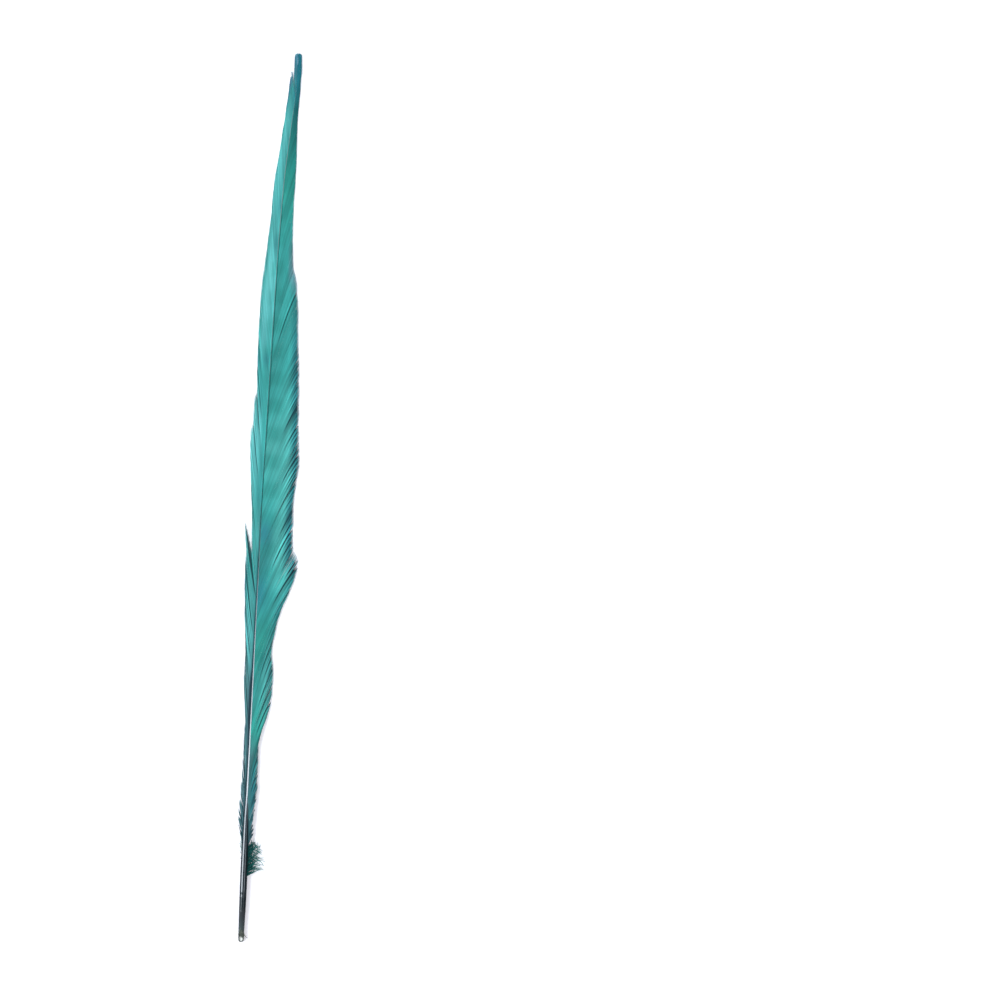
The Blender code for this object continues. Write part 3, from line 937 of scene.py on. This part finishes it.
@dataclass(frozen=True)
class Down:
    """Curled strands of down with barbules, on one side of the shaft at the foot of a vane."""

    plan: FeatherPlan
    name: str
    hand: Hand
    strands: int
    roots: tuple[float, float]
    lengths: Curve  # of the strands, by where they leave the shaft
    headings: tuple[float, float]  # degrees from the shaft
    curls: tuple[float, float]  # degrees over a strand's length
    pale: tuple[float, float]  # how far from the axis the strands start and end getting lighter
    finish: DyedDown
    seed: int
    rings: int = 19
    thick: float = 0.42
    thinning: float = 0.6  # how much of that is lost towards the end
    length_spread: tuple[float, float] = (0.3, 1.08)
    waviness: float = 120.0  # degrees
    wave_cells: tuple[float, float] = (1.0, 0.24)  # bundles, and share of a strand, over which it turns
    unruly: float = 9.0  # degrees that single strands stray
    lowest: float = 62.0  # degrees from the shaft that the first strands keep within
    rising: float = 8.0  # degrees more for each millimetre that a strand starts further up
    bundle: float = 9.0  # strands that curl together
    looseness: float = 0.35  # how much the curl drifts within a bundle, of the step to the next
    crowding: float = 1.65  # above 1, the strands crowd towards their lowest root
    root_across: float = 0.35  # how far from the axis the strands start, of the shaft's width
    root_heights: tuple[float, float] = (0.5, 1.3)  # of the axis's height
    end_heights: tuple[float, float] = (0.2, 2.4)
    arches: tuple[float, float] = (-0.3, 0.9)  # how far the middle of a strand is lifted
    least_pale: float = 0.2  # of the palest strand
    least_height: float = 0.15
    barbule_pitch: float = 1.0
    barbule_length: float = 0.8
    barbule_thick: float = 0.12
    barbule_angle: float = 50.0

    def stems(self, rng: np.random.Generator) -> Threads:
        """The strands, which curl towards the surface."""
        count, steps = self.strands, np.linspace(0, 1, self.rings)[None, :]
        each, still = column(rng, count), np.zeros((count, self.rings))
        low, high = self.roots
        roots = low + (high - low) * np.sort(rng.uniform(0, 1, count) ** self.crowding)[:, None]
        length = self.lengths.at(roots) * each(*self.length_spread)
        rows = np.arange(count) / self.bundle
        rows = np.floor(rows) + self.looseness * (rows - np.floor(rows))
        tilt, curl = ((least + most) / 2 + (most - least) / 2 * drift(rng, rows, still, (1, 1))
                      for least, most in (self.headings, self.curls))
        wave = self.waviness * steps ** 0.5 * drift(rng, rows, steps + still, self.wave_cells)
        heading = tilt + curl * steps + wave + each(-self.unruly, self.unruly) * (0.4 + steps)
        heading = np.radians(np.minimum(heading, self.lowest + self.rising * (roots - low)))
        stride = length / (self.rings - 1)
        root = self.root_across * self.plan.shaft_width.at(roots)
        across = root + np.cumsum(np.sin(heading) * stride, axis=1)
        along = roots + np.cumsum(np.cos(heading) * stride, axis=1)
        start = self.plan.axis(roots) * each(*self.root_heights)
        arch = np.sin(np.pi * steps) * each(*self.arches)
        up = start * (1 - steps) + each(*self.end_heights) * steps + arch
        level = each(self.least_pale, 1) * smooth_step(*self.pale, across)
        across = self.plan.bow.at(roots) + self.hand.value * across
        path = np.stack([across, along, np.maximum(up, self.least_height)], axis=-1)
        width = self.thick * (1 - self.thinning * steps) * np.ones((count, 1))
        return Threads(path, width, width / 2, upright(path), {"level": level})

    def barbules(self, rng: np.random.Generator, stems: Threads) -> Threads:
        """Short hairs in two rows along the strands.

        Args:
            rng: Where the uneven hairs come from.
            stems: The strands.

        Returns:
            The hairs.
        """
        reach = np.linalg.norm(np.diff(stems.path, axis=1), axis=2).sum(1)
        owner = np.repeat(np.arange(self.strands), (reach / self.barbule_pitch).astype(int))
        at = rng.uniform(0.05, 1.0, len(owner)) * (self.rings - 1)
        ring = np.minimum(at.astype(int), self.rings - 2)
        near, far = stems.path[owner, ring], stems.path[owner, ring + 1]
        start = near + (far - near) * (at - ring)[:, None]
        way = unit(far - near)
        turn = np.radians(self.barbule_angle * rng.uniform(0.6, 1.3, len(at))) * rng.choice((-1, 1), len(at))
        heading = np.arctan2(way[:, 1], way[:, 0]) + turn
        reach_up = way[:, 2] + rng.uniform(-0.45, 0.45, len(at))
        length = self.barbule_length * rng.uniform(0.4, 1.2, len(at)) * (1 - 0.5 * at / (self.rings - 1))
        end = start + np.stack([np.cos(heading), np.sin(heading), reach_up], axis=1) * length[:, None]
        end[:, 2] = np.maximum(end[:, 2], 0.08)
        hairs = np.stack([start, end], axis=1)
        width = self.barbule_thick * np.ones((len(at), 1)) * (1.0, 0.35)
        level = stems.values["level"][owner, ring][:, None] * (1.0, 1.3)
        return Threads(hairs, width, width / 2, upright(hairs), {"level": np.clip(level, 0, 1)})

    def build(self) -> bpy.types.Object:
        """Makes the tuft and dresses it."""
        rng = np.random.default_rng(self.seed)
        stems = self.stems(rng)
        piece = thread_piece(self.plan, self.name, [stems, self.barbules(rng, stems)])
        return finish_piece(piece, Slot.DOWN, self.finish.make())


@dataclass(frozen=True)
class Studio:
    """A white card, soft boxes on the left, a weaker one on the right, and the camera straight above."""

    plan: FeatherPlan
    view_across: float = 132.5  # of the picture's middle, from the middle of the cut end
    view_along: float = 263.2
    view_width: float = 575.0
    view_lean: float = 3.699  # degrees that the feather leans to the right in the picture
    lens: float = 85.0
    sensor: float = 36.0
    plane_height: float = 3.0  # of what the picture's width is measured on
    card_size: float = 8000.0
    card_glow: float = 0.3
    lamp_distance: float = 1500.0
    lamp_colour: str = "#EAF5FF"
    # The name, lean, spread, run and radiance of each soft box:
    lamps: tuple[tuple[str, float, float, tuple[float, float], float], ...] = (
        ("lower_left_soft_box", -46, 17, (-0.62, -0.02), 10.0),
        ("upper_left_soft_box", -46, 17, (0.0, 0.6), 4.6),
        ("right_soft_box", 29, 10, (-0.6, 0.5), 3.8))

    def camera(self) -> None:
        """Sets up the camera, which looks straight down."""
        data = bpy.data.cameras.new("camera")
        data.lens, data.sensor_width, data.clip_end = self.lens, self.sensor, 20.0
        camera = bpy.data.objects.new("camera", data)
        height = self.view_width * self.lens / self.sensor + self.plane_height
        camera.location = self.plan.world(np.array([self.view_across, self.view_along, height]))
        camera.rotation_euler = (0, 0, math.radians(self.view_lean))
        bpy.context.scene.collection.objects.link(camera)
        bpy.context.scene.camera = camera

    def card(self) -> None:
        """Lays the card under the feather: matt opal acrylic, whose light from below keeps shadows pale."""
        half = self.card_size / 2
        corners = np.array([(-half, -half, 0), (half, -half, 0), (half, half, 0), (-half, half, 0)])
        card = make_piece(self.plan, "card", corners, [[0, 1, 2, 3]], {})
        material, _, shader = new_material("opal_acrylic")
        plug(shader, {"Base Color": linear("#FAF8F8"), "Roughness": 0.9, "Specular IOR Level": 0.2,
                      "Emission Color": linear("#FFF8FC"), "Emission Strength": self.card_glow})
        card.data.materials.append(material)

    def lamp(self, name: str, lean: float, spread: float, run: tuple[float, float], radiance: float) -> None:
        """Adds a soft box that faces the feather.

        Args:
            name: Its name.
            lean: Degrees from straight above, + to the right.
            spread: Degrees that half of it takes up across the feather.
            run: Where it starts and ends along the feather, in metres from the feather's middle.
            radiance: Its brightness, as seen from the feather.
        """
        distance = self.lamp_distance * MM
        data = bpy.data.lights.new(name, "AREA")
        data.shape, data.size = "RECTANGLE", run[1] - run[0]
        data.size_y = 2 * distance * math.tan(math.radians(spread))
        data.energy = radiance * math.pi * data.size * data.size_y
        data.color = linear(self.lamp_colour)[:3]
        lamp = bpy.data.objects.new(name, data)
        lamp.location = (distance * math.sin(math.radians(lean)), 0, distance * math.cos(math.radians(lean)))
        lamp.rotation_euler = lamp.location.to_track_quat("Z", "Y").to_euler()
        lamp.location.y = sum(run) / 2
        bpy.context.scene.collection.objects.link(lamp)

    def build(self) -> None:
        """Makes the camera, the card, the lights and the room's light."""
        self.camera()
        self.card()
        for lamp in self.lamps:
            self.lamp(*lamp)
        world = bpy.data.worlds.new("room")
        world.use_nodes = True
        plug(world.node_tree.nodes["Background"], {"Color": linear("#F1F0FA"), "Strength": 0.4})
        bpy.context.scene.world = world
        bpy.context.scene.view_settings.view_transform = "Standard"


def make_left_vane(plan: FeatherPlan) -> Vane:
    """The narrow vane, whose long barbs lie close to the shaft."""
    return Vane(
        plan=plan,
        hand=Hand.LEFT,
        reach=Curve(((50, 2.3), (61, 4.2), (64.5, 3.6), (72, 3.8), (78, 3.2), (95.5, 3.9), (110.5, 5.6),
                     (118.5, 5.3), (147, 7.2), (174, 8.4), (180, 7.9), (187, 9.0), (192.5, 9.5), (196, 4.8),
                     (200, 5.3), (208, 6.3), (223, 7.9), (247.5, 9.3), (252.5, 8.4), (264, 8.5), (272, 7.5),
                     (288, 8.3), (323.5, 8.5), (345, 7.7), (382.5, 5.9), (398, 5.9), (413, 5.2), (439, 4.7),
                     (469.5, 4.6), (486, 3.7), (488.4, 3.3), (488.5, 1.95), (500, 2.1), (505, 2.0),
                     (508, 1.4), (511, 0.2))),
        advance=Curve(((50, 10), (80, 30), (120, 44), (188, 47.5), (192.5, 51), (196, 30), (208, 45),
                       (300, 48), (400, 40), (450, 28), (480, 18.5), (486.4, 13), (488.4, 16), (488.5, 9.1),
                       (500, 8.8), (505, 6.4), (508, 4.2), (511, 1.5))),
        edge=Curve(((58, 1.2), (120, 0.8), (170, 0), (235, 0), (300, 0.8), (380, 0.4), (420, 0), (470, 0),
                    (512.5, 0.35))),
        root_height=Curve(((50, 0.3), (380, 0.35), (430, 1.0), (445, 1.25), (512.5, 1.25))),
        root_across=0.25,
        wisps=Parting(
            width=Curve(((50, 4.0), (90, 6), (230, 7), (300, 12), (508, 14))),
            crease=Curve(((60, 0.3), (110, 0.28), (230, 0.3), (300, 0.5), (370, 0.7), (512.5, 0.9))),
            hold=Curve(((60, 0.6), (150, 0.85), (330, 0.9), (370, 0.95), (512.5, 0.98))),
            draw=Curve(((60, 0.6), (100, 0.5), (125, 0.15), (330, 0.08), (370, 0.05), (512.5, 0.02))),
            dark=Curve(((60, 0.7), (150, 0.9), (240, 0.7), (330, 0.4), (380, 0.12), (512.5, 0.05))),
            reach=1.1,
            crown=0.22,
        ),
        locks=Parting(
            width=Curve(((50, 8), (150, 20), (260, 22), (508, 30))),
            crease=Curve(((60, 0.2), (160, 0.25), (330, 0.4), (380, 0.6), (512.5, 0.8))),
            hold=Curve(((60, 0.4), (120, 0.8), (320, 0.85), (370, 0.95), (512.5, 0.95))),
            draw=Curve(((60, 0.2), (110, 0.06), (320, 0.04), (370, 0.02), (512.5, 0.01))),
            dark=Curve(((60, 0.9), (230, 1.0), (270, 0.6), (330, 0.5), (380, 0.2), (512.5, 0.1))),
            reach=1.2,
            crown=0.3,
        ),
        splits=(DeepSplit(194.2, 0.08, 0.9, 0.0, 0.85), DeepSplit(172, 0.12, 0.9, 0.2, 0.9),
                DeepSplit(253, 0.3, 0.9, 0.4, 0.7), DeepSplit(286, 0.35, 0.9, 0.4, 0.7),
                DeepSplit(488.45, 0.97, 0.6, 0.2)),
        loose=Curve(((50, 1.1), (62, 0.9), (84, 0.6), (104, 0.2), (240, 0.12), (330, 0.05), (508, 0.02))),
        root_painted_shade=Curve(((58, 0.3), (78, 0.6), (112, 0.6), (128, 0.97), (150, 0.97), (165, 0.7), (190, 0.6),
                          (225, 0.35), (260, 0.0))),
        root_painted_highlight=Curve(((58, 0.0), (230, 0.0), (262, 0.2), (330, 0.25), (370, 0.1), (430, 0.0))),
        bars=Curve(((60, 0.0), (290, 0.0), (320, 0.25), (400, 0.25), (430, 0.0))),
        bar_shares=(0.35, 0.8),
        streaks=(Mark(345, 7, 0.8, 0.2, -0.12), Mark(275, 2, 0.55, 0.3, 0.3), Mark(262, 3, 0.6, 0.25, 0.2),
                 Mark(295, 4, 0.9, 0.15, -0.2), Mark(236, 5, 0.5, 0.3, 0.12), Mark(365, 50, 0.5, 0.4, -0.09),
                 Mark(108, 4, 0.6, 0.3, 0.5), Mark(250, 3, 0.5, 0.3, -0.15), Mark(130, 10, 0.9, 0.3, -0.3),
                 Mark(80, 12, 0.6, 0.5, 0.2), Mark(138, 7, 0.85, 0.25, -0.3)),
        pools=(Mark(424, 5, 0.2, 0.2, 0.3), Mark(402, 6, 0.25, 0.2, 0.25), Mark(335, 4, 0.3, 0.2, 0.4),
               Mark(333, 6, 1.0, 0.15, 0.8), Mark(512, 16, 0.5, 0.9, 0.2)),
        streak_size=34.0,
        finish=DyedBarbs(
            name="dyed_barbs_narrow_vane",
            near=((60, Dye.SLATE), (145, Dye.SLATE), (175, Dye.LIGHT_TEAL), (215, Dye.DULL_TEAL),
                  (235, Dye.LIGHT_TEAL), (255, Dye.DULL_TEAL), (340, Dye.TEAL), (375, Dye.AQUA),
                  (400, Dye.LIGHT_TEAL), (474, Dye.LIGHT_TEAL), (488, Dye.PETROL), (512.5, Dye.STEEL)),
            middle=((60, Dye.SLATE), (145, Dye.GREY_TEAL), (175, Dye.AQUA), (215, Dye.TEAL), (245, Dye.TEAL),
                    (275, Dye.AQUA), (295, Dye.AQUA), (312, Dye.DULL_TEAL), (330, Dye.TEAL), (348, Dye.AQUA),
                    (388, Dye.PALE_AQUA), (412, Dye.LIGHT_TEAL), (474, Dye.AQUA), (492, Dye.DULL_TEAL),
                    (512.5, Dye.STEEL)),
            # the pale aqua stretch of the edge from 268 to 298 is a lighter tone with a painted highlight in it
            edge=((60, Dye.GREY_TEAL), (120, Dye.SLATE), (165, Dye.GREY_TEAL), (190, Dye.GREY_TEAL),
                  (208, Dye.PETROL), (225, Dye.AQUA), (250, Dye.DULL_TEAL), (268, Dye.PALE_AQUA),
                  (298, Dye.PALE_AQUA), (325, Dye.DULL_TEAL), (345, Dye.TEAL), (372, Dye.LIGHT_TEAL),
                  (410, Dye.LIGHT_TEAL), (445, Dye.AQUA), (475, Dye.TEAL), (495, Dye.STEEL),
                  (512.5, Dye.MIST)),
        ),
        seed=11,
        flare=-0.2,
    )


def make_right_vane(plan: FeatherPlan) -> Vane:
    """The broad vane, which ends in a comb of fine wisps along its middle."""
    return Vane(
        plan=plan,
        hand=Hand.RIGHT,
        reach=Curve(((50, 4.2), (65.5, 5.6), (84.5, 5.3), (104.5, 11.0), (119, 11.6), (127, 10.1),
                     (140, 12.5), (174, 22.7), (180, 19.3), (208, 18.3), (228, 20.1), (250, 18.0),
                     (276, 17.0), (297, 15.2), (332, 12.3), (348, 8.9), (384.5, 7.0), (410, 6.1), (434, 4.5),
                     (450, 3.1), (471, 2.2), (490, 2.5), (505, 2.2), (508, 1.5), (511, 0.2))),
        advance=Curve(((50, 10), (80, 26), (110, 36), (150, 46), (260, 50), (330, 46), (400, 36), (450, 24),
                       (486, 14), (499, 10), (505, 6.4), (508, 4.2), (511, 1.5))),
        edge=Curve(((58, 1.0), (120, 0.5), (150, 0), (460, 0), (512.5, 0.35))),
        root_height=Curve(((50, 0.45), (66, 0.6), (78, 1.08), (92, 1.25), (140, 1.15), (250, 1.12),
                           (300, 1.0), (420, 1.0), (445, 1.25), (512.5, 1.25))),
        root_across=0.22,
        wisps=Parting(
            width=Curve(((50, 2.4), (120, 3.4), (300, 3.3), (508, 5.0))),
            crease=Curve(((60, 0.4), (110, 0.6), (160, 0.6), (220, 0.64), (335, 0.7), (365, 0.85),
                          (512.5, 0.97))),
            hold=Curve(((60, 0.6), (110, 0.86), (200, 0.93), (335, 0.94), (365, 0.98), (512.5, 0.98))),
            draw=Curve(((60, 0.6), (110, 0.2), (150, 0.12), (335, 0.12), (365, 0.05), (512.5, 0.02))),
            dark=Curve(((60, 0.8), (150, 0.8), (230, 1.2), (335, 1.1), (360, 0.15), (512.5, 0.05))),
            reach=0.6,
            crown=0.16,
            spread=0.22,
        ),
        locks=Parting(
            width=Curve(((50, 7), (150, 11), (300, 17), (508, 24))),
            crease=Curve(((60, 0.3), (160, 0.35), (300, 0.5), (370, 0.7), (512.5, 0.9))),
            hold=Curve(((60, 0.5), (110, 0.85), (300, 0.92), (370, 0.95), (512.5, 0.95))),
            draw=Curve(((60, 0.2), (110, 0.06), (330, 0.03), (400, 0.02), (512.5, 0.01))),
            dark=Curve(((60, 0.9), (220, 0.95), (320, 0.6), (350, 0.15), (512.5, 0.1))),
            reach=0.9,
            crown=0.22,
        ),
        splits=(DeepSplit(106, 0.25, 0.8, 0.8), DeepSplit(172, 0.35, 0.88, 0.6),
                DeepSplit(192, 0.35, 0.88, 0.6), DeepSplit(262, 0.5, 0.92, 0.3),
                DeepSplit(330, 0.2, 0.92, 0.2, 0.8)),
        loose=Curve(((50, 1.0), (62, 0.7), (78, 0.35), (100, 0.18), (300, 0.14), (360, 0.05), (508, 0.02))),
        root_painted_shade=Curve(((58, 0.2), (68, 0.0))),
        root_painted_highlight=Curve(((58, 0.0), (512.5, 0.0))),
        bars=Curve(((60, 0.0), (130, 0.2), (180, 0.4), (330, 0.55), (390, 0.45), (450, 0.35), (470, 0.0))),
        bar_shares=(0.3, 0.72),
        streaks=(Mark(177, 2.8, 0.5, 0.35, 0.4), Mark(184, 2.5, 0.6, 0.3, -0.2), Mark(191, 4, 0.5, 0.3, 0.12),
                 Mark(230, 5, 0.55, 0.3, 0.1), Mark(332.5, 1.5, 0.6, 0.3, 0.3), Mark(112, 4, 0.7, 0.3, -0.3)),
        pools=(Mark(236, 7, 0.12, 0.2, 0.5), Mark(200, 14, 0.12, 0.25, 0.45), Mark(158, 9, 0.5, 0.3, 0.25),
               Mark(90, 14, 0.4, 0.5, 0.22), Mark(512, 16, 0.5, 0.9, 0.25), Mark(190, 10, 0.75, 0.2, 0.3)),
        streak_size=16.0,
        finish=DyedBarbs(
            name="dyed_barbs_broad_vane",
            near=((60, Dye.SLATE), (76, Dye.GREY_TEAL), (106, Dye.GREY_TEAL), (122, Dye.SEA_GREEN),
                  (145, Dye.TEAL), (165, Dye.SEA_GREEN), (225, Dye.DULL_TEAL), (255, Dye.TEAL),
                  (285, Dye.FRESH_TEAL), (310, Dye.TEAL), (400, Dye.TEAL), (440, Dye.SEA_GREEN),
                  (480, Dye.DEEP_TEAL), (512.5, Dye.TIP_BLUE)),
            middle=((60, Dye.SLATE), (86, Dye.PETROL), (103, Dye.DULL_TEAL), (118, Dye.SEA_GREEN),
                    (150, Dye.FRESH_TEAL), (185, Dye.TEAL), (220, Dye.FRESH_TEAL), (290, Dye.FRESH_TEAL),
                    (330, Dye.TEAL), (400, Dye.TEAL), (435, Dye.SEA_GREEN), (480, Dye.DEEP_TEAL),
                    (512.5, Dye.TIP_BLUE)),
            edge=((60, Dye.SLATE), (110, Dye.GREY_TEAL), (190, Dye.TEAL), (215, Dye.PETROL),
                  (340, Dye.PETROL), (372, Dye.DULL_TEAL), (386, Dye.MIST), (398, Dye.GREY_TEAL),
                  (412, Dye.TEAL), (430, Dye.SEA_GREEN), (480, Dye.DEEP_TEAL), (512.5, Dye.TIP_BLUE)),
        ),
        seed=23,
    )


def main() -> None:
    """Builds the feather piece by piece, then the studio round it."""
    logging.basicConfig(level=logging.INFO, format="%(name)s: %(message)s")
    plan, down = FeatherPlan.from_frame(), DyedDown()
    torn = PalePith("torn_keratin", light="#8A8E80", dark="#3A3E36")
    Shaft(plan, DyedKeratin(), PalePith(), torn).build()
    make_left_vane(plan).build()
    make_right_vane(plan).build()
    Down(plan, "right_down", Hand.RIGHT, strands=230, roots=(37.5, 56),
         lengths=Curve(((37.5, 7.5), (41, 9.5), (46, 12), (56, 7.5))), headings=(16, 60), curls=(-90, 140),
         pale=(3.0, 9.0), finish=down, seed=5).build()
    Down(plan, "left_down", Hand.LEFT, strands=46, roots=(50, 73), lengths=Curve(((50, 3.4), (73, 4.0))),
         headings=(12, 38), curls=(-10, 30), pale=(0.0, 2.4), finish=down, seed=8, thick=0.3, waviness=40.0,
         looseness=1.0, crowding=1.0).build()
    Studio(plan).build()


if __name__ == "__main__":
    main()
